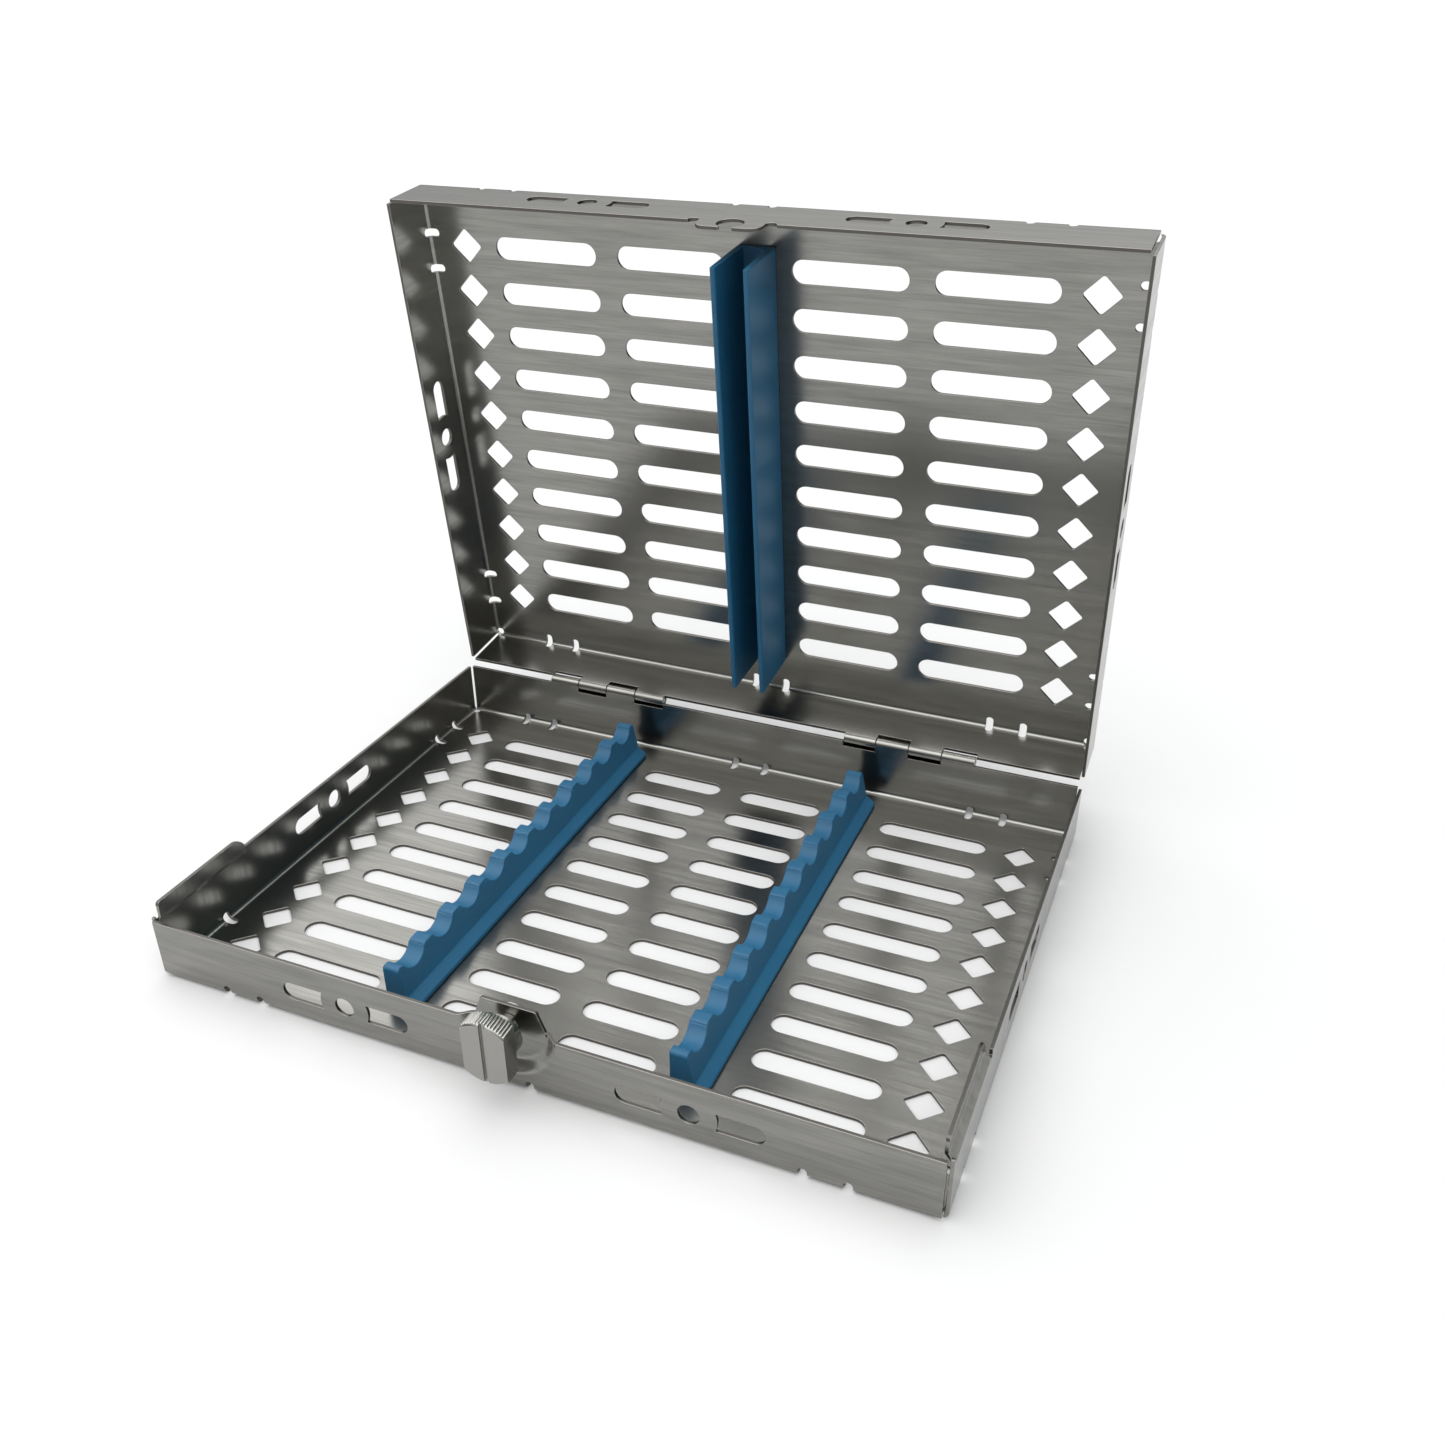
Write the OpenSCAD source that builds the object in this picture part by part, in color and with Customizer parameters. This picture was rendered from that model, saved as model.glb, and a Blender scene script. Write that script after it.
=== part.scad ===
// Folding steriliser cassette for hand instruments: a perforated tray and a matching lid, each folded
// from one sheet, on two rolled hinges, with a quarter-turn latch and silicone instrument holders.
// +X is right, +Y is towards the hinges and +Z is up. The origin is the middle of the tray's underside.

/* [Tray and lid] */
// Outside width of the tray and of the lid
case_w = 205.4; // [200:0.1:215]
// Outside depth, front wall to back wall
case_d = 151; // [148:1:165]
// Outside height of the tray, and of the lid
half_h = 17.2; // [16:0.1:20]
// Thickness of the steel sheet
sheet = 0.9; // [0.7:0.05:1.1]
// Inside radius of the bends
bend_r = 1.2; // [0.8:0.1:1.6]
// Gap between the two rims when the lid is shut
rim_gap = 0.9; // [0.7:0.1:1.2]
// Angle between the lid as drawn and the lid shut
open_angle = 83.4; // [0:0.1:180]

/* [Drain slots] */
// Rows of slots, front to back
rows = 10; // [4:1:10]
// Distance from one row to the next
row_pitch = 12.95; // [12.5:0.05:13.2]
// Middle of the rows, measured from the middle of the tray
row_shift = -0.65; // [-1:0.05:1]
// Width of a slot, across the row
slot_w = 6.5; // [5:0.1:8]
// Length of a long slot
slot_l = 31.8; // [28:0.1:32]
// Middle of the outer slots, from the centre line
outer_slot_x = 64.05; // [63:0.05:65]
// Middle of the lid's inner slots
lid_slot_x = 25.6; // [25:0.1:26]
// Middle of the tray's inner slots
tray_slot_x = 16.2; // [15:0.1:17]
// Length of the tray's inner slots
tray_slot_l = 25.4; // [22:0.1:26]
// Middle of the end columns of square holes
diamond_x = 89.8; // [89:0.1:91]
// Side of a square hole
diamond_side = 7.1; // [5:0.1:7.5]
// Corner radius of a square hole
diamond_r = 0.8; // [0.4:0.1:1.5]

/* [Wall vents] */
// Radius of the round hole in the middle of a vent
vent_hole_r = 2.65; // [2:0.05:3]
// Width of the slots beside it
vent_slot_w = 5; // [4:0.1:6]
// Distance from the middle of the vent to the near end of a slot
vent_near = 6.8; // [6:0.1:8]
// Distance from the middle of the vent to the far end of a slot
vent_far = 17.9; // [15:0.1:19]
// Middle of a front vent, from the centre line
vent_x = 44.9; // [40:0.1:50]
// Height of the front vents above the panel's outer face
front_vent_z = 8.4; // [7:0.1:10]
// Height of the side vents above the panel's outer face
side_vent_z = 10; // [8:0.1:11]
// Middle of a side vent, from the middle of the tray
side_vent_y = -2.5; // [-10:0.5:10]

/* [Bend reliefs] */
// Width of a relief slot
relief_w = 2.2; // [1.5:0.1:3]
// How far a relief slot runs in along the panel
relief_reach = 4.3; // [3:0.1:5]
// How far a relief slot runs up the wall
relief_rise = 3; // [2.5:0.1:4.5]
// Distance between the two slots of a pair
relief_gap = 10.2; // [8:0.1:14]
// Middle of the outer pairs on the front and back bends
relief_x = 76.2; // [70:0.1:80]
// Middle of the pairs on the side bends, from the middle of the rows
relief_y = 56.3; // [50:0.1:60]

/* [Hinges] */
// Diameter of a hinge pin
pin_d = 1.6; // [1:0.1:1.8]
// Radial clearance of the pin in the lid's knuckles
pin_play = 0.05; // [0.02:0.01:0.1]
// Length of one knuckle, with its gap
knuckle_l = 10.2; // [8:0.1:11]
// Gap between two knuckles
knuckle_gap = 0.3; // [0.2:0.05:0.5]
// Distance from the centre line to the first knuckle
hinge_x = 30.4; // [25:0.1:40]
// Clearance round a knuckle in the other wall
knuckle_room = 0.45; // [0.3:0.05:0.8]

/* [Guide tabs] */
// Length of the tabs on top of the side walls
guide_l = 32; // [20:0.5:40]
// Height of the tabs above the rim
guide_h = 4.8; // [3:0.1:7]
// How far the tabs are set inwards
guide_set = 1.6; // [1.15:0.05:2]

/* [Latch] */
// Depth of the pocket pressed into the front wall
pocket_depth = 2.2; // [1.8:0.1:2.8]
// Radius of the flat bottom of the pocket
pocket_r = 9.2; // [9:0.1:10.2]
// Width of the pocket's sloping border
pocket_slope = 4; // [2:0.1:4.2]
// Height of the latch tab above the latch shaft
latch_tab_h = 5.3; // [4:0.1:6]
// Diameter of the knob
knob_d = 17.2; // [16:0.1:20]
// Width of the knob across its flats
knob_flats = 11.1; // [10:0.1:14]
// Thickness of the knob
knob_t = 4.6; // [4:0.1:6]
// Diameter of the locking part of the shaft
lock_d = 6; // [5:0.1:6.4]
// Width of the locking part across its flats
lock_flats = 3; // [2.6:0.1:3.2]
// Diameter of the shaft where it runs in the tray
shaft_d = 4; // [3.5:0.1:4.5]
// Width of the lid's keyhole neck
neck_w = 3.6; // [3.4:0.1:4]
// Diameter of the lid's keyhole
keyhole_d = 7.2; // [7:0.1:7.6]

/* [Instrument racks] */
// Middle of a rack, from the centre line
rack_x = 38.5; // [36:0.1:40]
// Width of a rack's foot
rack_w = 10; // [8:0.1:12]
// Height of a rack above the tray's floor
rack_h = 11.2; // [9:0.1:12.5]
// Height of the bottom of a notch above the tray's floor
notch_h = 8.3; // [5:0.1:9]
// Radius of a notch
notch_r = 5; // [4:0.1:6.2]
// Middle of the front notch, from the middle of the tray
first_notch_y = -55.9; // [-57:0.1:-54]

/* [Hold-down strip] */
// Width of the strip in the lid
strip_w = 10.6; // [9:0.1:14]
// Height of its two fins
strip_h = 20; // [15:0.1:21]
// Thickness of a fin at its tip
fin_t = 1.5; // [1.2:0.1:2]
// Thickness of a fin at its root
fin_root = 2.1; // [1.5:0.1:3]
// Length of the strip
strip_l = 128.6; // [100:0.1:130]

/* [Hidden] */
$fn = 48;
steel = [0.62, 0.61, 0.59];
silicone = [0.20, 0.42, 0.58];
fold_r = bend_r + sheet;
axis_z = half_h + rim_gap / 2;
case_h = 2 * half_h + rim_gap;
knuckle_r = pin_d / 2 + pin_play + sheet;
axis_y = case_d / 2 - sheet + knuckle_r;
knuckles = 4;
hinge_l = knuckles * knuckle_l;
corner_hole_r = 1.2;
corner_gap = 0.4;
wall_inset = sheet + corner_gap;
latch_z = half_h;
tab_y = -case_d / 2 + pocket_depth;
stud_d = 4;
rack_mid_y = first_notch_y + row_pitch * (rows - 1) / 2;
rack_l = row_pitch * rows + 1.2;
rack_stud_step = 52;
strip_stud_step = 50;
strip_floor = 1.8;
// Axial places along the latch shaft, from the tab's front face, outwards positive
hub_z = 3.2;
grip_z = 6.5;
spring_h = 0.7;
spring_z = -sheet - 0.05 - spring_h;
washer_t = 0.5;
ring_t = 0.4;
shaft_end_z = 3.6;

// ---- flat patterns ----

// A slot with full-round ends, its length along X
module slot_2d(length, width) {
  square([length - width, width], center = true);
  for (side = [-1, 1])
    translate([side * (length - width) / 2, 0]) circle(d = width);
}

// A rounded square standing on its corner
module diamond_2d() {
  inner = diamond_side - 2 * diamond_r;
  rotate(45) {
    square([diamond_side, inner], center = true);
    square([inner, diamond_side], center = true);
    for (x = [-1, 1], y = [-1, 1])
      translate([x, y] * inner / 2) circle(diamond_r);
  }
}

// A round hole between two slots whose near ends follow a circle about the hole
module vent_2d() {
  circle(vent_hole_r);
  for (side = [-1, 1])
    difference() {
      translate([side * (vent_far + vent_near - vent_slot_w) / 2, 0])
        slot_2d(vent_far - vent_near + vent_slot_w, vent_slot_w);
      circle(vent_near);
    }
}

// All the drain holes of one panel
module drain_2d(inner_x, inner_l) {
  for (row = [0 : rows - 1], side = [-1, 1])
    translate([0, row_shift + (row - (rows - 1) / 2) * row_pitch]) {
      translate([side * inner_x, 0]) slot_2d(inner_l, slot_w);
      translate([side * outer_slot_x, 0]) slot_2d(slot_l, slot_w);
      translate([side * diamond_x, 0]) diamond_2d();
    }
}

// ---- one folded half: the panel's outer face at z = 0 and the walls upwards ----

// Turns a pattern so that its x runs along the wall and its y runs up, with the outer face at the case's side
module on_wall(angle, reach, width) {
  rotate(angle) translate([0, -reach, 0]) rotate([90, 0, 0]) translate([0, 0, -width]) children();
}

// One side of the fold: its bend and its wall, with the wall's vents cut
module folded_side(angle, reach, width) {
  rotate(angle) translate([-width / 2, fold_r - reach, fold_r]) rotate([90, 0, 90])
    linear_extrude(width) difference() {
      intersection() {
        circle(fold_r);
        translate([-fold_r, -fold_r]) square(fold_r);
      }
      circle(bend_r);
    }
  on_wall(angle, reach, sheet) linear_extrude(sheet) difference() {
    translate([-width / 2, fold_r]) square([width, half_h - fold_r]);
    children();
  }
}

// A relief slot across a bend: along the panel and up the wall, with round ends
module relief_cut(angle, reach, along) {
  on_wall(angle, reach, fold_r) translate([along, 0, 0])
    linear_extrude(fold_r + 1) rotate(90) slot_2d(relief_rise * 2, relief_w);
  rotate(angle) translate([along, -reach, -1])
    linear_extrude(fold_r + 1) rotate(90) slot_2d(relief_reach * 2, relief_w);
}

// The relief slots of all four bends
module relief_cuts() {
  for (pair = [-1, 1] * relief_gap / 2) {
    for (x = [-1, 0, 1] * relief_x, angle = [0, 180])
      relief_cut(angle, case_d / 2, x + pair);
    for (y = [-1, 1] * relief_y, side = [-1, 1])
      relief_cut(side * 90, case_w / 2, side * (y + row_shift) + pair);
  }
}

// A folded half without its hinge and latch features
module folded_pan(inner_x, inner_l) {
  floor_w = case_w - 2 * fold_r;
  floor_d = case_d - 2 * fold_r;
  front_l = case_w - 2 * wall_inset;
  side_l = case_d - 2 * wall_inset;
  difference() {
    union() {
      linear_extrude(sheet) difference() {
        square([floor_w, floor_d], center = true);
        drain_2d(inner_x, inner_l);
      }
      folded_side(0, case_d / 2, front_l)
        for (side = [-1, 1]) translate([side * vent_x, front_vent_z]) vent_2d();
      folded_side(180, case_d / 2, front_l);
      for (side = [-1, 1])
        folded_side(side * 90, case_w / 2, side_l)
          translate([side * side_vent_y, side_vent_z]) vent_2d();
    }
    relief_cuts();
    for (x = [-1, 1], y = [-1, 1])
      translate([x * floor_w / 2, y * floor_d / 2, -1]) cylinder(r = corner_hole_r, h = fold_r + 1);
  }
}

// ---- hinge knuckles, rolled outwards from the back wall ----

// Places a child at the low end of each named knuckle of both hinges
module at_knuckles(places) {
  for (side = [-1, 1], i = places)
    translate([side * (hinge_x + (i + 0.5) * knuckle_l) - knuckle_l / 2, 0, 0]) children();
}

// A knuckle: the wall runs up past the rim and rolls round the pin
module knuckle_solid() {
  length = knuckle_l - knuckle_gap;
  translate([knuckle_gap / 2, 0, 0]) {
    translate([0, case_d / 2 - sheet, half_h - 1]) cube([length, sheet, axis_z - half_h + 1]);
    translate([0, axis_y, axis_z]) rotate([0, 90, 0]) cylinder(r = knuckle_r, h = length);
  }
}

// The bore of a knuckle, and the seam where the rolled end meets the wall
module knuckle_cut(bore_r) {
  seam = 0.2;
  translate([-1, axis_y, axis_z]) rotate([0, 90, 0]) cylinder(r = bore_r, h = knuckle_l + 2);
  translate([-1, case_d / 2, axis_z - knuckle_r]) cube([knuckle_l + 2, seam, knuckle_r - bore_r - seam]);
}

// The notch in a wall for a knuckle of the other half
module knuckle_notch() {
  translate([0, case_d / 2 - sheet - 1, axis_z - knuckle_r - knuckle_room])
    cube([knuckle_l, sheet + 2, knuckle_r * 2]);
}

// ---- the tray's own features ----

// Depth of the pocket's border, from 1 at its inner edge to 0 at its outer edge
function slope_at(s) = pocket_depth * (1 + cos(180 * s)) / 2;

// The pressed pocket of the front wall and the latch tab that rises from it
module latch_pocket() {
  steps = 14;
  outline = [for (i = [0 : steps]) [pocket_r + pocket_slope * i / steps, slope_at(i / steps)]];
  back = [for (i = [steps : -1 : 0]) outline[i] + [0, sheet]];
  corner_r = 1;
  top_x = 7.5;
  shoulder = corner_r - latch_tab_h;
  translate([0, -case_d / 2, latch_z]) rotate([-90, 0, 0]) rotate_extrude(angle = 180)
    polygon(concat(outline, back));
  translate([0, tab_y, latch_z]) rotate([-90, 0, 0]) linear_extrude(sheet) {
    intersection() {
      circle(pocket_r);
      translate([-pocket_r, 0]) square([2 * pocket_r, pocket_r]);
    }
    polygon([[-pocket_r, 0], [-top_x, shoulder], [top_x, shoulder], [pocket_r, 0]]);
    translate([corner_r - top_x, -latch_tab_h]) square([2 * (top_x - corner_r), corner_r + 0.1]);
    for (side = [-1, 1])
      translate([side * (top_x - corner_r), shoulder]) circle(corner_r);
  }
}

// A guide tab on the right side wall: set inwards above the rim, with a large rear corner
module guide_tab() {
  x = case_w / 2;
  joggle_z = half_h - 1.6;
  seat_z = half_h + 0.4;
  top_z = half_h + guide_h;
  front_y = 2.1 - case_d / 2;
  rear_r = 4.5;
  front_r = 1;
  intersection() {
    translate([0, front_y + guide_l, 0]) rotate([90, 0, 0]) linear_extrude(guide_l)
      polygon([[x, joggle_z], [x, joggle_z - 1], [x - sheet, joggle_z - 1], [x - sheet, joggle_z],
        [x - sheet - guide_set, seat_z], [x - sheet - guide_set, top_z],
        [x - guide_set, top_z], [x - guide_set, seat_z]]);
    translate([x - sheet - guide_set - 1, front_y, joggle_z - 1]) rotate([90, 0, 90])
      linear_extrude(sheet + guide_set + 2) {
        height = top_z - joggle_z + 1;
        square([guide_l, height - rear_r]);
        translate([front_r, 0]) square([guide_l - front_r - rear_r, height]);
        square([front_r * 2, height - front_r]);
        translate([front_r, height - front_r]) circle(front_r);
        translate([guide_l - rear_r, height - rear_r]) circle(rear_r);
      }
  }
}

// The space taken out of a side wall for its guide tab's bend
module guide_room() {
  notch = 1.2;
  translate([case_w / 2 - sheet - 1, 2.1 - case_d / 2, half_h - 1.6])
    cube([sheet + 2, guide_l + notch, 3]);
}

module base_tray() {
  color(steel) difference() {
    union() {
      difference() {
        folded_pan(tray_slot_x, tray_slot_l);
        translate([0, 1 - case_d / 2 + sheet, latch_z]) rotate([90, 0, 0])
          cylinder(r = pocket_r + pocket_slope, h = sheet + 2);
        at_knuckles([0, 2]) knuckle_notch();
        for (side = [0, 1]) mirror([side, 0, 0]) guide_room();
      }
      latch_pocket();
      at_knuckles([1, 3]) knuckle_solid();
      for (side = [0, 1]) mirror([side, 0, 0]) guide_tab();
    }
    at_knuckles([1, 3]) knuckle_cut(pin_d / 2);
    translate([0, tab_y - 1, latch_z]) rotate([-90, 0, 0]) cylinder(d = shaft_d + 0.1, h = sheet + 2);
    for (side = [-1, 1], step = [-1, 0, 1])
      translate([side * rack_x, rack_mid_y + step * rack_stud_step, -1]) cylinder(d = stud_d, h = sheet + 2);
  }
}

// ---- the lid ----

// Turns a child from the shut lid's place to the place of the open lid
module opened() {
  translate([0, axis_y, axis_z]) rotate([-open_angle, 0, 0]) translate([0, -axis_y, -axis_z]) children();
}

// The keyhole plate below the lid's front rim, before the keyhole is cut
module keyhole_plate_2d() {
  half_w = 9;
  drop = 5.2;
  r = 3.2;
  rise = rim_gap / 2;
  translate([-half_w, -rise - 1]) square([2 * half_w, drop + 1 - r]);
  translate([r - half_w, drop - rise - r - 1]) square([2 * (half_w - r), r + 1]);
  for (side = [-1, 1])
    translate([side * (half_w - r), drop - rise - r]) circle(r);
}

// The keyhole, its neck, and the reliefs beside the plate
module keyhole_cut_2d() {
  lead = 1;
  axis = case_h - half_h - latch_z;
  relief_r = 1.5;
  translate([0, axis]) circle(d = keyhole_d);
  translate([-neck_w / 2, axis]) square([neck_w, 10]);
  translate([0, axis + 4.9]) rotate(45) square(neck_w / sqrt(2) + lead, center = true);
  for (side = [-1, 1])
    translate([side * (9 + relief_r), 0]) circle(relief_r);
}

module lid() {
  color(steel) opened() translate([0, 0, case_h]) mirror([0, 0, 1]) difference() {
    union() {
      difference() {
        folded_pan(lid_slot_x, slot_l);
        at_knuckles([1, 3]) knuckle_notch();
      }
      on_wall(0, case_d / 2, sheet) linear_extrude(sheet) translate([0, half_h]) keyhole_plate_2d();
      at_knuckles([0, 2]) knuckle_solid();
    }
    at_knuckles([0, 2]) knuckle_cut(pin_d / 2 + pin_play);
    on_wall(0, case_d / 2, sheet + 1) linear_extrude(sheet + 2) translate([0, half_h]) keyhole_cut_2d();
    for (step = [-1, 0, 1])
      translate([0, row_shift + step * strip_stud_step, -1]) cylinder(d = stud_d, h = sheet + 2);
  }
}

// ---- hinge pins ----

module hinge_pin(side) {
  trim = knuckle_gap;
  color(steel) translate([side * (hinge_x + hinge_l / 2) - hinge_l / 2 + trim, axis_y, axis_z])
    rotate([0, 90, 0]) cylinder(d = pin_d, h = hinge_l - 2 * trim);
}

// ---- latch: everything stands on the shaft, its own z outwards from the tab's front face ----

module on_shaft() {
  translate([0, tab_y, latch_z]) rotate([90, 0, 0]) children();
}

// Keeps what lies between two flats
module between_flats(width, low, high) {
  intersection() {
    children();
    translate([-width / 2, -knob_d, low]) cube([width, 2 * knob_d, high - low]);
  }
}

module latch_knob() {
  chamfer = 0.6;
  hub_d = 10.6;
  groove_w = 1.3;
  groove_deep = 0.7;
  ring_groove_d = 3;
  top = grip_z + knob_t;
  color(steel) on_shaft() difference() {
    union() {
      between_flats(knob_flats, grip_z, top) {
        translate([0, 0, grip_z]) cylinder(d = knob_d, h = knob_t - chamfer);
        translate([0, 0, top - chamfer]) cylinder(d1 = knob_d, d2 = knob_d - 2 * chamfer, h = chamfer);
      }
      translate([0, 0, hub_z]) cylinder(d = hub_d, h = grip_z - hub_z);
      between_flats(lock_flats, 0.1, hub_z) cylinder(d = lock_d, h = hub_z);
      translate([0, 0, -shaft_end_z]) cylinder(d = shaft_d, h = shaft_end_z + 0.1);
      cylinder(d = lock_flats, h = grip_z);
    }
    translate([-groove_w / 2, -knob_d, top - groove_deep]) cube([groove_w, 2 * knob_d, 1]);
    translate([0, 0, spring_z - washer_t - ring_t - 0.05]) difference() {
      cylinder(d = shaft_d + 1, h = ring_t + 0.05);
      translate([0, 0, -1]) cylinder(d = ring_groove_d, h = ring_t + 2);
    }
  }
}

// A coned spring washer between the tab and the flat washer
module spring_washer() {
  inner = 2.2;
  outer = 4.6;
  thick = 0.35;
  color(steel) on_shaft() translate([0, 0, spring_z]) rotate_extrude()
    polygon([[inner, 0], [inner, thick], [outer, spring_h], [outer, spring_h - thick]]);
}

module flat_washer() {
  color(steel) on_shaft() translate([0, 0, spring_z - washer_t]) difference() {
    cylinder(d = 9, h = washer_t);
    translate([0, 0, -1]) cylinder(d = shaft_d + 0.2, h = washer_t + 2);
  }
}

// An E-shaped ring that snaps into the shaft's groove from the side
module retaining_ring() {
  color(steel) on_shaft() translate([0, 0, spring_z - washer_t - ring_t]) linear_extrude(ring_t)
    difference() {
      circle(d = 7.6);
      circle(d = 3);
      translate([-1.2, -5]) square([2.4, 5]);
      for (side = [-1, 1]) translate([side * 2.3, 0]) circle(0.6);
    }
}

// ---- silicone holders ----

// A notched rack: an upright wall on a foot with a sloping ledge, held by three moulded studs
module rack(x) {
  foot = rack_w / 2;
  color(silicone) {
    difference() {
      translate([x, rack_mid_y + rack_l / 2, sheet]) rotate([90, 0, 0]) linear_extrude(rack_l)
        polygon([[-foot, 0], [foot, 0], [foot, 1.2], [2.3, 3.1], [1.2, notch_h], [0.6, rack_h],
          [-3.9, rack_h], [-3.9, 2.2], [-foot, 1.5]]);
      for (i = [0 : rows - 1])
        translate([x - foot, first_notch_y + i * row_pitch, sheet + notch_h + notch_r])
          rotate([0, 90, 0]) cylinder(r = notch_r, h = rack_w);
    }
    for (step = [-1, 0, 1])
      translate([x, rack_mid_y + step * rack_stud_step, 0]) cylinder(d = stud_d, h = sheet + 1);
  }
}

module left_rack() {
  rack(-rack_x);
}

module right_rack() {
  rack(rack_x);
}

// Two long fins on a flat back, with round tips, held by three moulded studs
module hold_down_strip() {
  half = strip_w / 2;
  tip = fin_t / 2;
  color(silicone) opened() translate([0, 0, case_h - sheet]) {
    translate([0, row_shift + strip_l / 2, 0]) rotate([90, 0, 0]) linear_extrude(strip_l) {
      translate([-half, -strip_floor]) square([strip_w, strip_floor]);
      for (side = [-1, 1]) {
        polygon([[side * half, 0], [side * (half - fin_root), -strip_floor + 0.1],
          [side * (half - fin_t), tip - strip_h], [side * half, tip - strip_h]]);
        translate([side * (half - tip), tip - strip_h]) circle(tip);
      }
    }
    for (step = [-1, 0, 1])
      translate([0, row_shift + step * strip_stud_step, -1]) cylinder(d = stud_d, h = sheet + 1);
  }
}

base_tray();
lid();
hinge_pin(-1);  // left_hinge_pin
hinge_pin(1);  // right_hinge_pin
latch_knob();
spring_washer();
flat_washer();
retaining_ring();
left_rack();
right_rack();
hold_down_strip();
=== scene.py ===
"""Folding instrument cassette: brushed stainless tray and lid, silicone holders and a knurled latch knob.

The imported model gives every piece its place. The classes below give the sheets their deburred edges, the
mouldings their soft corners and the knob its knurling, dress each in its own finish, and set up the studio.
Lengths are in metres unless a name ends in _mm, and angles are in radians unless it ends in _deg.
"""

from __future__ import annotations

import logging
import math
from dataclasses import dataclass
from enum import Enum
from typing import Any

import bmesh
import bpy
from mathutils import Euler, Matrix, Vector


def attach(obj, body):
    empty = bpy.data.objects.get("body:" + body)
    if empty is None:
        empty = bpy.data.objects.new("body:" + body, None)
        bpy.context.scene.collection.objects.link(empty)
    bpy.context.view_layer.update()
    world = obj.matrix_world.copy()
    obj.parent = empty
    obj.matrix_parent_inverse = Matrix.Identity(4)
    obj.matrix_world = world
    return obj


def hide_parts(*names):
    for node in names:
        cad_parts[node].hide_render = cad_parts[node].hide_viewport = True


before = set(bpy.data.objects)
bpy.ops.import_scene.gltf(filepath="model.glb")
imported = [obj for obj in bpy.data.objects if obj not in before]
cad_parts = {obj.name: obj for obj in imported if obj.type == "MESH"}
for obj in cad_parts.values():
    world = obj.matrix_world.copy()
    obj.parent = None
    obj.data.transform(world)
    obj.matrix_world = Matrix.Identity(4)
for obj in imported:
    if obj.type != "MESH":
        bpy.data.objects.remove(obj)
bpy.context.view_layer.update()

LOG = logging.getLogger("cassette")
MM = 0.001
WHITE = (1.0, 1.0, 1.0, 1.0)
# Faces that meet at more than this look creased.
CREASE_DEG = 50.0
# The angle between the lid as it stands and the lid shut.
OPEN_ANGLE = math.radians(83.4)


class Body(Enum):
    """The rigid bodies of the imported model."""

    TRAY = "tray"
    LID = "lid"
    LATCH = "latch"


class Grain(Enum):
    """How a sheet lies, which is how its brushed grain runs."""

    TRAY = "flat"
    LID = "opened"


def linear(hex_colour: str) -> tuple[float, float, float, float]:
    """Turns an sRGB hex colour into linear colour with full alpha.

    Args:
        hex_colour: Six hex digits after a hash sign.

    Returns:
        Red, green, blue and alpha, linear.
    """
    parts = [int(hex_colour[i : i + 2], 16) / 255 for i in (1, 3, 5)]
    red, green, blue = (p / 12.92 if p <= 0.04045 else ((p + 0.055) / 1.055) ** 2.4 for p in parts)
    return (red, green, blue, 1.0)


def add_node(
    tree: bpy.types.NodeTree,
    kind: str,
    settings: dict[str, Any] | None = None,
    inputs: dict[str | int, Any] | None = None,
) -> bpy.types.Node:
    """Adds a node with its settings and its inputs.

    Args:
        tree: The node tree.
        kind: The node's type name.
        settings: Properties of the node.
        inputs: Values for its sockets, or the sockets that feed them.

    Returns:
        The new node.
    """
    node = tree.nodes.new(kind)
    for name, value in (settings or {}).items():
        setattr(node, name, value)
    for key, value in (inputs or {}).items():
        if isinstance(value, bpy.types.NodeSocket):
            tree.links.new(value, node.inputs[key])
        else:
            node.inputs[key].default_value = value
    return node


def new_material(name: str) -> tuple[bpy.types.Material, bpy.types.NodeTree]:
    """Starts an empty node material.

    Args:
        name: The material's name.

    Returns:
        The material and its tree.
    """
    material = bpy.data.materials.new(name)
    material.use_nodes = True
    material.node_tree.nodes.clear()
    return material, material.node_tree


def close_material(tree: bpy.types.NodeTree, shader: bpy.types.Node) -> None:
    """Links a shader to the output of its tree.

    Args:
        tree: The node tree.
        shader: The shader node.
    """
    add_node(tree, "ShaderNodeOutputMaterial", inputs={"Surface": shader.outputs[0]})


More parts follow.
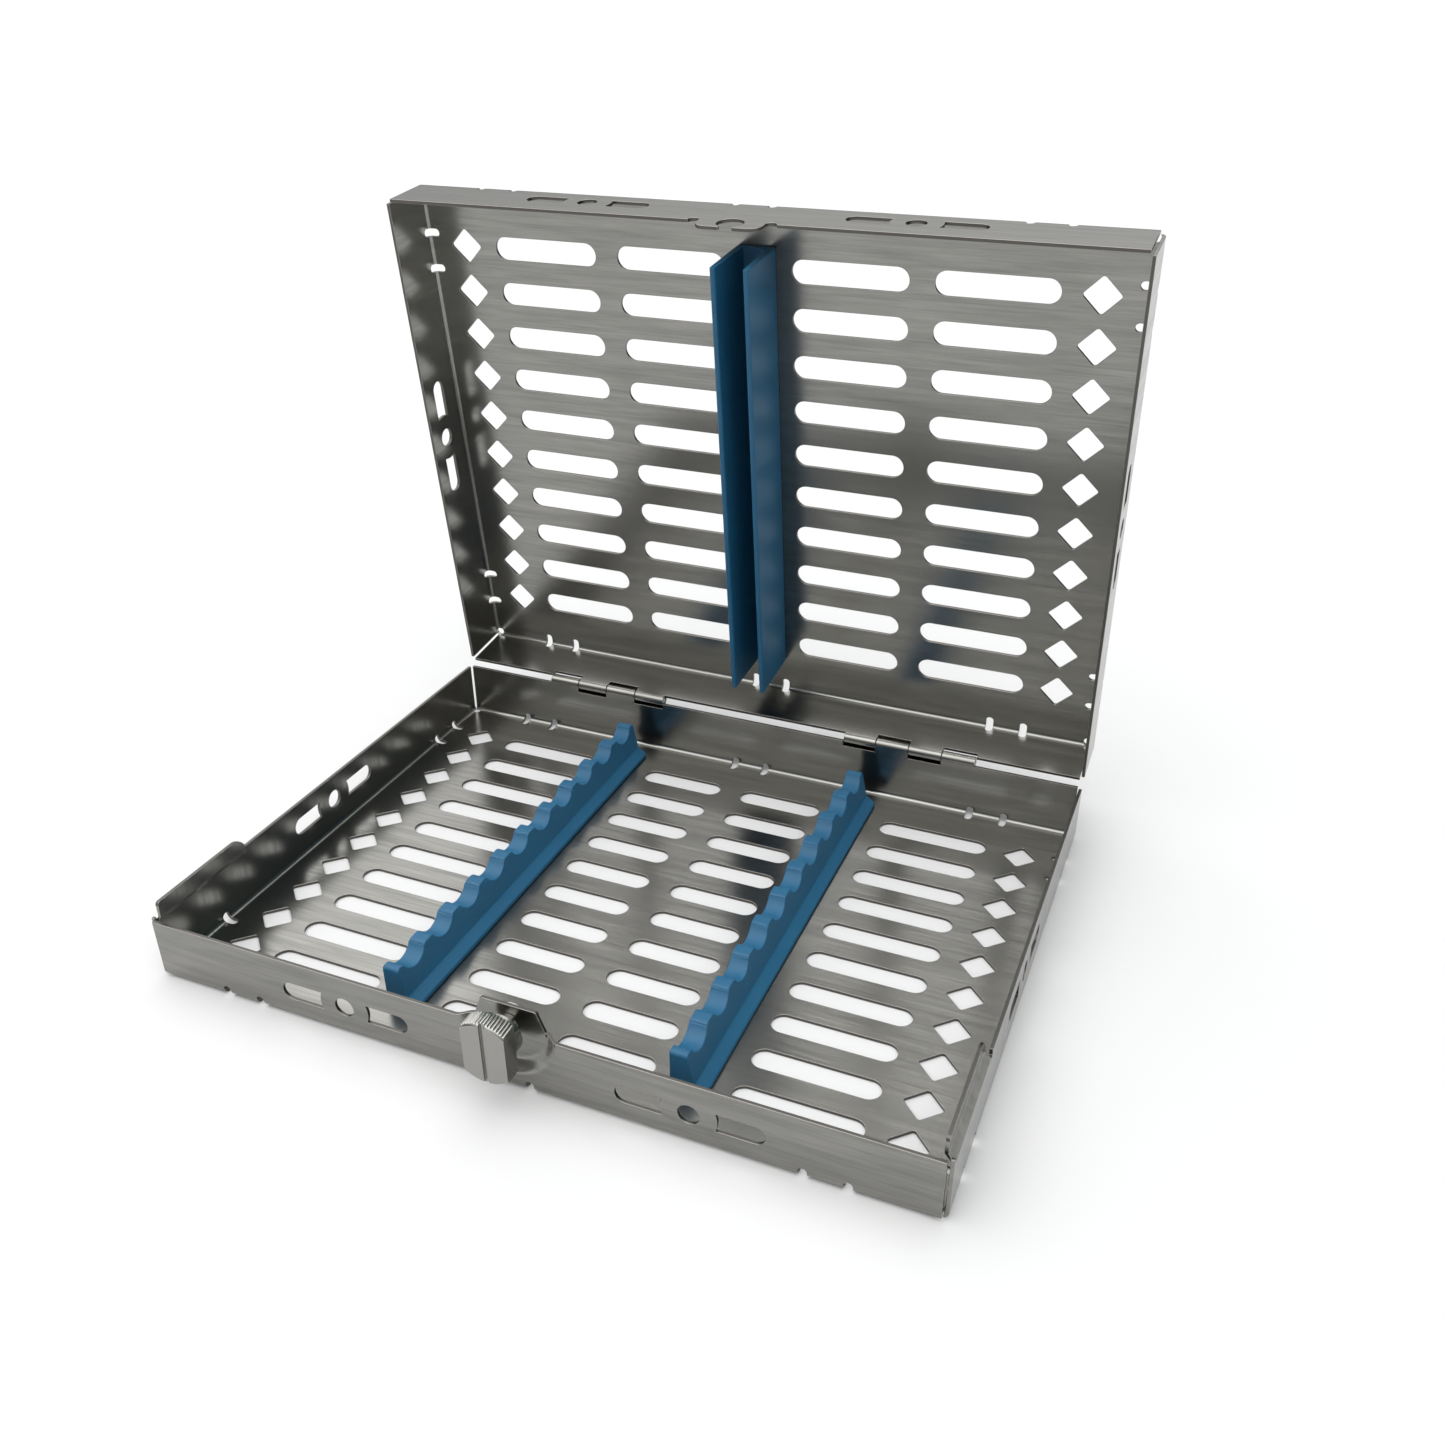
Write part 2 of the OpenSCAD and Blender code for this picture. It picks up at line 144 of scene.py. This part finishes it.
@dataclass(frozen=True)
class BrushedSheet:
    """Cold-rolled 304 stainless sheet, belt-brushed before folding: a soft gloss broken by fine parallel
    scratches, which run along the tray's width and turn up the side walls with the fold."""

    name: str = "brushed_304_sheet"
    bright: str = "#959490"
    dull: str = "#7d7d79"
    grain: Grain = Grain.TRAY
    # Real scratches are near 0.05 mm wide, too fine to show, so they are drawn at 0.28 mm.
    scratch_width_mm: float = 0.28
    scratch_length_mm: float = 38.0
    # The belt also leaves broader bands, which is what shows from a distance.
    band_width_mm: float = 2.2
    band_length_mm: float = 30.0
    band_share: float = 0.55
    # Noise hardly leaves the middle of its range, so this part of it is spread over the whole.
    noise_low: float = 0.36
    noise_high: float = 0.64
    roughness: float = 0.22
    roughness_swing: float = 0.06
    scratch_depth_mm: float = 0.006
    scratch_strength: float = 0.35
    # A face turned further sideways than this is a side wall, where the grain turns upwards.
    side_from: float = 0.6
    side_to: float = 0.8

    def sheet_space(self, tree: bpy.types.NodeTree, socket: str, vector_type: str) -> bpy.types.NodeSocket:
        """Turns a texture coordinate into the sheet's own lie.

        Args:
            tree: The node tree.
            socket: The output of the Texture Coordinate node.
            vector_type: The Mapping node's type.

        Returns:
            The turned coordinate.
        """
        turn = OPEN_ANGLE if self.grain is Grain.LID else 0.0
        source = add_node(tree, "ShaderNodeTexCoord").outputs[socket]
        mapping = add_node(
            tree,
            "ShaderNodeMapping",
            {"vector_type": vector_type},
            {"Vector": source, "Rotation": (turn, 0.0, 0.0)},
        )
        return mapping.outputs[0]

    def streaks(
        self,
        tree: bpy.types.NodeTree,
        place: bpy.types.NodeSocket,
        along: int,
        width_mm: float,
        length_mm: float,
    ) -> bpy.types.NodeSocket:
        """Streaks that run along one axis of the sheet.

        Args:
            tree: The node tree.
            place: The sheet's own coordinate.
            along: The axis they follow, 0 for X and 2 for Z.
            width_mm: The width of a streak.
            length_mm: The length of a streak.

        Returns:
            A value from 0 to 1.
        """
        scale = [1.0 / (width_mm * MM)] * 3
        scale[along] = 1.0 / (length_mm * MM)
        stretched = add_node(tree, "ShaderNodeMapping", inputs={"Vector": place, "Scale": scale})
        noise = add_node(
            tree,
            "ShaderNodeTexNoise",
            inputs={"Vector": stretched.outputs[0], "Scale": 1.0, "Detail": 3.0, "Roughness": 0.65},
        )
        return noise.outputs["Fac"]

    def material(self) -> bpy.types.Material:
        """Builds the brushed sheet's material."""
        material, tree = new_material(self.name)
        place = self.sheet_space(tree, "Object", "POINT")
        normal = add_node(
            tree, "ShaderNodeSeparateXYZ", inputs={0: self.sheet_space(tree, "Normal", "VECTOR")}
        )
        sideways = add_node(tree, "ShaderNodeMath", {"operation": "ABSOLUTE"}, {0: normal.outputs["X"]})
        on_side = add_node(
            tree,
            "ShaderNodeMapRange",
            inputs={"Value": sideways.outputs[0], "From Min": self.side_from, "From Max": self.side_to},
        )
        fine, broad = (
            add_node(
                tree,
                "ShaderNodeMix",
                {"data_type": "FLOAT"},
                {
                    0: on_side.outputs[0],
                    2: self.streaks(tree, place, 0, width_mm, length_mm),
                    3: self.streaks(tree, place, 2, width_mm, length_mm),
                },
            ).outputs[0]
            for width_mm, length_mm in (
                (self.scratch_width_mm, self.scratch_length_mm),
                (self.band_width_mm, self.band_length_mm),
            )
        )
        both = add_node(
            tree,
            "ShaderNodeMix",
            {"data_type": "FLOAT"},
            {0: self.band_share, 2: fine, 3: broad},
        )
        blend = add_node(
            tree,
            "ShaderNodeMapRange",
            inputs={"Value": both.outputs[0], "From Min": self.noise_low, "From Max": self.noise_high},
        )
        colour = add_node(
            tree,
            "ShaderNodeMix",
            {"data_type": "RGBA"},
            {0: blend.outputs[0], 6: linear(self.dull), 7: linear(self.bright)},
        )
        rough = add_node(
            tree,
            "ShaderNodeMapRange",
            inputs={
                "Value": blend.outputs[0],
                "To Min": self.roughness + self.roughness_swing / 2,
                "To Max": self.roughness - self.roughness_swing / 2,
            },
        )
        bump = add_node(
            tree,
            "ShaderNodeBump",
            inputs={
                "Height": fine,
                "Strength": self.scratch_strength,
                "Distance": self.scratch_depth_mm * MM,
            },
        )
        shader = add_node(
            tree,
            "ShaderNodeBsdfPrincipled",
            inputs={
                "Base Color": colour.outputs[2],
                "Metallic": 1.0,
                "Roughness": rough.outputs[0],
                "Normal": bump.outputs[0],
            },
        )
        close_material(tree, shader)
        return material


@dataclass(frozen=True)
class CleanSteel:
    """Machined or tumbled stainless: an even satin metal with a faint cloud in its gloss."""

    name: str
    tone: str = "#9f9e9a"
    roughness: float = 0.22
    roughness_swing: float = 0.08
    cloud_mm: float = 2.5

    def material(self) -> bpy.types.Material:
        """Builds the satin steel's material."""
        material, tree = new_material(self.name)
        place = add_node(tree, "ShaderNodeTexCoord").outputs["Object"]
        cloud = add_node(
            tree,
            "ShaderNodeTexNoise",
            inputs={"Vector": place, "Scale": 1.0 / (self.cloud_mm * MM), "Detail": 3.0},
        )
        rough = add_node(
            tree,
            "ShaderNodeMapRange",
            inputs={
                "Value": cloud.outputs["Fac"],
                "To Min": self.roughness - self.roughness_swing,
                "To Max": self.roughness + self.roughness_swing,
            },
        )
        shader = add_node(
            tree,
            "ShaderNodeBsdfPrincipled",
            inputs={
                "Base Color": linear(self.tone),
                "Metallic": 1.0,
                "Roughness": rough.outputs[0],
            },
        )
        close_material(tree, shader)
        return material


@dataclass(frozen=True)
class MouldedSilicone:
    """Compression-moulded silicone rubber: an even dyed body, a satin skin with a faint tooth from the mould,
    and a little light that passes through thin edges."""

    name: str = "moulded_silicone"
    body: str = "#1c597a"
    cloudy: str = "#1a5272"
    smoothest: float = 0.44
    roughest: float = 0.58
    tooth_mm: float = 0.35
    tooth_depth_mm: float = 0.01
    tooth_strength: float = 0.3
    cloud_mm: float = 14.0
    ior: float = 1.41
    glow: float = 0.45
    glow_mm: float = 2.5

    def material(self) -> bpy.types.Material:
        """Builds the silicone's material."""
        material, tree = new_material(self.name)
        place = add_node(tree, "ShaderNodeTexCoord").outputs["Object"]
        cloud = add_node(
            tree,
            "ShaderNodeTexNoise",
            inputs={"Vector": place, "Scale": 1.0 / (self.cloud_mm * MM), "Detail": 4.0},
        )
        tooth = add_node(
            tree,
            "ShaderNodeTexNoise",
            inputs={"Vector": place, "Scale": 1.0 / (self.tooth_mm * MM), "Detail": 2.0},
        )
        colour = add_node(
            tree,
            "ShaderNodeMix",
            {"data_type": "RGBA"},
            {0: cloud.outputs["Fac"], 6: linear(self.cloudy), 7: linear(self.body)},
        )
        rough = add_node(
            tree,
            "ShaderNodeMapRange",
            inputs={
                "Value": cloud.outputs["Fac"],
                "To Min": self.smoothest,
                "To Max": self.roughest,
            },
        )
        bump = add_node(
            tree,
            "ShaderNodeBump",
            inputs={
                "Height": tooth.outputs["Fac"],
                "Strength": self.tooth_strength,
                "Distance": self.tooth_depth_mm * MM,
            },
        )
        shader = add_node(
            tree,
            "ShaderNodeBsdfPrincipled",
            inputs={
                "Base Color": colour.outputs[2],
                "Roughness": rough.outputs[0],
                "IOR": self.ior,
                "Subsurface Weight": self.glow,
                "Subsurface Scale": self.glow_mm * MM,
                "Normal": bump.outputs[0],
            },
        )
        close_material(tree, shader)
        return material


@dataclass(frozen=True)
class MattePaper:
    """Seamless studio paper: white and without gloss."""

    name: str = "studio_paper"
    tone: str = "#c6c6c6"
    roughness: float = 0.9
    sheen: float = 0.1

    def material(self) -> bpy.types.Material:
        """Builds the paper's material."""
        material, tree = new_material(self.name)
        shader = add_node(
            tree,
            "ShaderNodeBsdfPrincipled",
            inputs={
                "Base Color": linear(self.tone),
                "Roughness": self.roughness,
                "Specular IOR Level": self.sheen,
            },
        )
        close_material(tree, shader)
        return material


def carved(mesh: bmesh.types.BMesh, cutters: bmesh.types.BMesh) -> bmesh.types.BMesh:
    """Cuts one mesh out of another.

    Args:
        mesh: The closed mesh to cut, which is freed.
        cutters: The closed meshes to take away, which are freed.

    Returns:
        The cut mesh.
    """
    bmesh.ops.recalc_face_normals(cutters, faces=cutters.faces)
    helpers = []
    for name, source in (("uncut", mesh), ("cutters", cutters)):
        data = bpy.data.meshes.new(name)
        source.to_mesh(data)
        source.free()
        helper = bpy.data.objects.new(name, data)
        bpy.context.scene.collection.objects.link(helper)
        helpers.append(helper)
    body, tool = helpers
    cut = body.modifiers.new("cut", "BOOLEAN")
    cut.operation = "DIFFERENCE"
    cut.solver = "EXACT"
    cut.object = tool
    result = bmesh.new()
    result.from_object(body, bpy.context.evaluated_depsgraph_get())
    for helper in helpers:
        data = helper.data
        bpy.data.objects.remove(helper)
        bpy.data.meshes.remove(data)
    return result


@dataclass
class Piece:
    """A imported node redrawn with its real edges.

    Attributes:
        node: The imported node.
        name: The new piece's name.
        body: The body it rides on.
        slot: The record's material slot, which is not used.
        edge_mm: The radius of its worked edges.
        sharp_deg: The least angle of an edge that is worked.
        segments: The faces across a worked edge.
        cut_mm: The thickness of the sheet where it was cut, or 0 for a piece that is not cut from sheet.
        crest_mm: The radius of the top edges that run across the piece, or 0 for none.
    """

    node: str
    name: str
    body: Body
    slot: str
    edge_mm: float
    sharp_deg: float = 35.0
    segments: int = 2
    cut_mm: float = 0.0
    crest_mm: float = 0.0

    def clean_mesh(self) -> bmesh.types.BMesh:
        """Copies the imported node's mesh, joins its loose triangles and dissolves them into whole faces.

        Returns:
            The closed mesh.
        """
        join_mm = 0.001
        flat_deg = 0.6
        mesh = bmesh.new()
        mesh.from_mesh(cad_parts[self.node].data)
        bmesh.ops.remove_doubles(mesh, verts=mesh.verts, dist=join_mm * MM)
        bmesh.ops.dissolve_limit(
            mesh,
            angle_limit=math.radians(flat_deg),
            verts=mesh.verts,
            edges=mesh.edges,
            use_dissolve_boundaries=False,
        )
        return mesh

    def mark_cuts(self, mesh: bmesh.types.BMesh) -> None:
        """Gives the third material to the faces where the sheet was cut through.

        Args:
            mesh: The mesh to change.
        """
        slack = 0.04 * MM
        thick = self.cut_mm * MM
        for face in mesh.faces:
            across = [e for e in face.edges if abs(e.calc_length() - thick) < slack]
            narrow = face.calc_area() < (thick + slack) * face.calc_perimeter() / 2
            if len(across) >= 2 and narrow:
                face.material_index = 2

    def round_crests(self, mesh: bmesh.types.BMesh) -> None:
        """Rounds the top edges that run across the piece.

        Args:
            mesh: The mesh to change.
        """
        slack = 0.05 * MM
        crosswise = 0.9
        top = max(v.co.z for v in mesh.verts) - slack
        crests = [
            e
            for e in mesh.edges
            if all(v.co.z > top for v in e.verts)
            and abs(e.verts[0].co.x - e.verts[1].co.x) > crosswise * e.calc_length()
        ]
        bmesh.ops.bevel(
            mesh,
            geom=crests,
            offset=self.crest_mm * MM,
            offset_type="OFFSET",
            affect="EDGES",
            segments=5,
            profile=0.5,
            material=-1,
            clamp_overlap=False,
        )

    def work_edges(self, mesh: bmesh.types.BMesh) -> None:
        """Rounds the sharp edges and gives them the second material.

        Args:
            mesh: The mesh to change.
        """
        least = math.radians(self.sharp_deg)
        sharp = [e for e in mesh.edges if len(e.link_faces) == 2 and e.calc_face_angle(0.0) > least]
        bmesh.ops.bevel(
            mesh,
            geom=sharp,
            offset=self.edge_mm * MM,
            offset_type="OFFSET",
            affect="EDGES",
            segments=self.segments,
            profile=0.5,
            material=1,
            clamp_overlap=False,
        )

    def build(self, finishes: list[bpy.types.Material]) -> bpy.types.Object:
        """Makes the piece, dresses it and puts it in its node's place.

        Args:
            finishes: The face material, the edge material and the material of cut faces.

        Returns:
            The finished object.
        """
        mesh = self.clean_mesh()
        for face in mesh.faces:
            face.material_index = 0
        if self.cut_mm:
            self.mark_cuts(mesh)
        if self.crest_mm:
            self.round_crests(mesh)
        self.work_edges(mesh)
        data = bpy.data.meshes.new(self.name)
        mesh.to_mesh(data)
        mesh.free()
        for finish in finishes:
            data.materials.append(finish)
        data.polygons.foreach_set("use_smooth", [True] * len(data.polygons))
        data.set_sharp_from_angle(angle=math.radians(CREASE_DEG))
        piece = bpy.data.objects.new(self.name, data)
        bpy.context.scene.collection.objects.link(piece)
        even = piece.modifiers.new("even_faces", "WEIGHTED_NORMAL")
        even.mode = "FACE_AREA"
        even.weight = 100
        even.keep_sharp = True
        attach(piece, self.body.value)
        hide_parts(self.node)
        LOG.info("%s stands for %s: %d faces", self.name, self.node, len(data.polygons))
        return piece


@dataclass
class Sheets:
    """The folded tray and lid, punched and then deburred in a tumbler."""

    edge_mm: float = 0.08
    sheet_mm: float = 0.9

    def build(self) -> None:
        """Builds both sheets."""
        # The edge bevels get a lighter steel tone than the faces: partly the burnish left by tumbling, partly
        # a painted highlight along every edge.
        edge = CleanSteel("deburred_edge_painted_highlight", tone="#9a9590", roughness=0.25).material()
        # The cut faces get a dark tone that is partly the duller sheared steel and partly painted shade,
        # darker than the white floor's reflection would leave them.
        cut = CleanSteel("punched_edge_painted_shade", tone="#5c5a57", roughness=0.38).material()
        tray = BrushedSheet(name="brushed_304_tray", grain=Grain.TRAY).material()
        lid = BrushedSheet(name="brushed_304_lid", grain=Grain.LID).material()
        sheets = (
            ("base_tray", "tray_sheet", Body.TRAY, "tray_steel", tray),
            ("lid", "lid_sheet", Body.LID, "lid_steel", lid),
        )
        for node, name, body, slot, face in sheets:
            Piece(node, name, body, slot, self.edge_mm, cut_mm=self.sheet_mm).build([face, edge, cut])


@dataclass
class HingePins:
    """The two drawn pins in the rolled knuckles."""

    edge_mm: float = 0.12

    def build(self) -> None:
        """Builds both pins."""
        drawn = CleanSteel("drawn_pin", roughness=0.25).material()
        for side in ("left", "right"):
            pin = Piece(f"{side}_hinge_pin", f"{side}_pin", Body.TRAY, "pin_steel", self.edge_mm)
            pin.build([drawn, drawn])


@dataclass
class Holders:
    """The notched racks and the finned strip, moulded in blue silicone with softened corners."""

    edge_mm: float = 0.3
    crest_mm: float = 1.0
    segments: int = 3

    def build(self) -> None:
        """Builds the three mouldings."""
        blue = MouldedSilicone().material()
        for side in ("left", "right"):
            rack = Piece(f"{side}_rack", f"{side}_moulded_rack", Body.TRAY, "blue_silicone", self.edge_mm)
            rack.segments = self.segments
            rack.crest_mm = self.crest_mm
            rack.build([blue, blue])
        strip = Piece("hold_down_strip", "moulded_hold_down", Body.LID, "blue_silicone", self.edge_mm)
        strip.segments = self.segments
        strip.build([blue, blue])


@dataclass
class KnurledKnob(Piece):
    """The latch knob, straight-knurled on the two round parts of its grip.

    Attributes:
        axis_z_mm: The height of the latch shaft.
        grip_r_mm: The radius of the grip.
        grip_mm: The grip's front and back ends along Y.
        knurl_mm: The depth of a groove.
        knurl_half_mm: Half the width of a groove.
        knurl_pitch_deg: The angle from one groove to the next.
        knurl_reach_deg: How far the grooves run to each side of the top.
    """

    axis_z_mm: float = 17.2
    grip_r_mm: float = 8.6
    grip_mm: tuple[float, float] = (-85.0, -79.4)
    knurl_mm: float = 0.28
    knurl_half_mm: float = 0.33
    knurl_pitch_deg: float = 5.25
    knurl_reach_deg: float = 42.0

    def clean_mesh(self) -> bmesh.types.BMesh:
        """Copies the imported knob's mesh and cuts the knurling into it."""
        return carved(super().clean_mesh(), self.knurl_cutters())

    def knurl_cutters(self) -> bmesh.types.BMesh:
        """Makes one three-sided prism for each groove.

        Returns:
            All the prisms, which do not touch each other.
        """
        cutters = bmesh.new()
        over_mm = 0.05
        steps = round(2 * self.knurl_reach_deg / self.knurl_pitch_deg)
        for side in (90.0, -90.0):
            for step in range(steps + 1):
                angle = math.radians(side - self.knurl_reach_deg + step * self.knurl_pitch_deg)
                outward = Vector((math.cos(angle), 0.0, math.sin(angle)))
                across = Vector((-math.sin(angle), 0.0, math.cos(angle)))
                rim = outward * (self.grip_r_mm + over_mm)
                half = across * self.knurl_half_mm
                self.add_prism(cutters, (outward * (self.grip_r_mm - self.knurl_mm), rim + half, rim - half))
        return cutters

    def add_prism(self, mesh: bmesh.types.BMesh, corners: tuple[Vector, ...]) -> None:
        """Adds a prism that runs the length of the grip.

        Args:
            mesh: The mesh to add to.
            corners: The prism's corners about the shaft, in millimetres.
        """
        centre = Vector((0.0, 0.0, self.axis_z_mm))
        ends = []
        for y_mm in self.grip_mm:
            ends.append([mesh.verts.new((centre + c + Vector((0.0, y_mm, 0.0))) * MM) for c in corners])
        front, back = ends
        mesh.faces.new(front)
        mesh.faces.new(reversed(back))
        for i in range(len(corners)):
            j = (i + 1) % len(corners)
            mesh.faces.new((front[j], front[i], back[i], back[j]))


@dataclass
class Latch:
    """The turned knob with its washers and ring."""

    knob_edge_mm: float = 0.05
    washer_edge_mm: float = 0.05

    def build(self) -> None:
        """Builds the latch's four pieces."""
        turned = CleanSteel("turned_knob", tone="#979692", roughness=0.24).material()
        # The knob's edge bevels get a much lighter tone than its faces: a painted highlight that stands in
        # for the bright reflections on its chamfer and knurl.
        edge = CleanSteel("turned_knob_painted_edge_highlight", tone="#b5b3ae", roughness=0.2).material()
        knob = KnurledKnob("latch_knob", "turned_latch_knob", Body.LATCH, "knob_steel", self.knob_edge_mm)
        knob.segments = 1
        knob.build([turned, edge])
        spring = CleanSteel("pressed_washer", roughness=0.25).material()
        for node in ("spring_washer", "flat_washer", "retaining_ring"):
            washer = Piece(node, f"pressed_{node}", Body.LATCH, "pin_steel", self.washer_edge_mm)
            washer.build([spring, spring])


@dataclass
class Studio:
    """Pale seamless floor, soft light and the camera.

    Attributes:
        eye: Where the camera stands.
        turn_deg: How the camera is turned.
        lens_mm: Its focal length.
        film_mm: The width of its film.
        floor_side: The side of the floor.
        floor_drop_mm: How far the floor lies below the tray.
        horizon: The strength of the room's light near the ground.
        zenith: The strength of the light overhead.
        light_from: The height, from 0 at the horizon to 1 overhead, where the room starts to grow lighter.
        light_to: The height where it stops.
        doorway: The direction of a dark doorway, which the left walls mirror.
        doorway_tone: The doorway's colour.
        doorway_outer: The cosine at which the doorway starts.
        doorway_inner: The cosine at which it is at its full tone.
        lamp: The strength of the overhead lamp.
        lamp_deg: The angle that the lamp fills.
        lamp_tilt_deg: The lamp's turn about X and Y.
    """

    eye: tuple[float, float, float] = (0.1334, -0.2659, 0.2258)
    turn_deg: tuple[float, float, float] = (60.2806, 0.2752, 22.6218)
    lens_mm: float = 33.42
    film_mm: float = 36.0
    floor_side: float = 40.0
    floor_drop_mm: float = 0.02
    horizon: float = 0.32
    zenith: float = 2.6
    light_from: float = 0.2
    light_to: float = 0.85
    doorway: tuple[float, float, float] = (0.72, 0.62, 0.31)
    doorway_tone: str = "#667a77"
    doorway_outer: float = 0.72
    doorway_inner: float = 0.82
    lamp: float = 0.4
    lamp_deg: float = 70.0
    lamp_tilt_deg: tuple[float, float] = (14.0, -18.0)

    def build(self) -> None:
        """Sets up the floor, the lights and the camera."""
        self.floor()
        self.sky()
        self.lights()
        self.camera()

    def floor(self) -> None:
        """Lays the floor just under the tray."""
        mesh = bmesh.new()
        bmesh.ops.create_grid(mesh, x_segments=1, y_segments=1, size=self.floor_side / 2)
        bmesh.ops.translate(mesh, verts=mesh.verts, vec=(0.0, 0.0, -self.floor_drop_mm * MM))
        data = bpy.data.meshes.new("floor")
        mesh.to_mesh(data)
        mesh.free()
        data.materials.append(MattePaper().material())
        floor = bpy.data.objects.new("floor", data)
        bpy.context.scene.collection.objects.link(floor)

    def sky(self) -> None:
        """Fills the room with a dim light, paler overhead, with a dark doorway behind the right corner."""
        world = bpy.data.worlds.new("room")
        bpy.context.scene.world = world
        world.use_nodes = True
        tree = world.node_tree
        tree.nodes.clear()
        direction = add_node(tree, "ShaderNodeTexCoord").outputs["Generated"]
        height = add_node(tree, "ShaderNodeSeparateXYZ", inputs={0: direction})
        shade = add_node(
            tree,
            "ShaderNodeMapRange",
            {"interpolation_type": "SMOOTHSTEP"},
            {
                "Value": height.outputs["Z"],
                "From Min": self.light_from,
                "From Max": self.light_to,
                "To Min": self.horizon,
                "To Max": self.zenith,
            },
        )
        towards = add_node(
            tree,
            "ShaderNodeVectorMath",
            {"operation": "DOT_PRODUCT"},
            {0: direction, 1: self.doorway},
        )
        doorway = add_node(
            tree,
            "ShaderNodeMapRange",
            {"interpolation_type": "SMOOTHSTEP"},
            {
                "Value": towards.outputs["Value"],
                "From Min": self.doorway_outer,
                "From Max": self.doorway_inner,
            },
        )
        colour = add_node(
            tree,
            "ShaderNodeMix",
            {"data_type": "RGBA"},
            {0: doorway.outputs[0], 6: WHITE, 7: linear(self.doorway_tone)},
        )
        background = add_node(
            tree, "ShaderNodeBackground", inputs={"Color": colour.outputs[2], "Strength": shade.outputs[0]}
        )
        add_node(tree, "ShaderNodeOutputWorld", inputs={"Surface": background.outputs[0]})

    def lights(self) -> None:
        """Hangs one broad overhead light that reaches the whole floor evenly."""
        sun = bpy.data.lights.new("overhead", "SUN")
        sun.energy = self.lamp
        sun.angle = math.radians(self.lamp_deg)
        lamp = bpy.data.objects.new("overhead", sun)
        lamp.rotation_euler = Euler([math.radians(a) for a in (*self.lamp_tilt_deg, 0.0)])
        bpy.context.scene.collection.objects.link(lamp)

    def camera(self) -> None:
        """Places the camera."""
        lens = bpy.data.cameras.new("camera")
        lens.lens = self.lens_mm
        lens.sensor_width = self.film_mm
        lens.clip_start = 0.01
        lens.clip_end = 100.0
        camera = bpy.data.objects.new("camera", lens)
        camera.location = self.eye
        camera.rotation_euler = Euler([math.radians(a) for a in self.turn_deg])
        bpy.context.scene.collection.objects.link(camera)
        bpy.context.scene.camera = camera
        bpy.context.scene.view_settings.view_transform = "Standard"


def main() -> None:
    """Builds the cassette and its studio."""
    logging.basicConfig(level=logging.INFO, format="%(message)s")
    Studio().build()
    Sheets().build()
    HingePins().build()
    Holders().build()
    Latch().build()


if __name__ == "__main__":
    main()
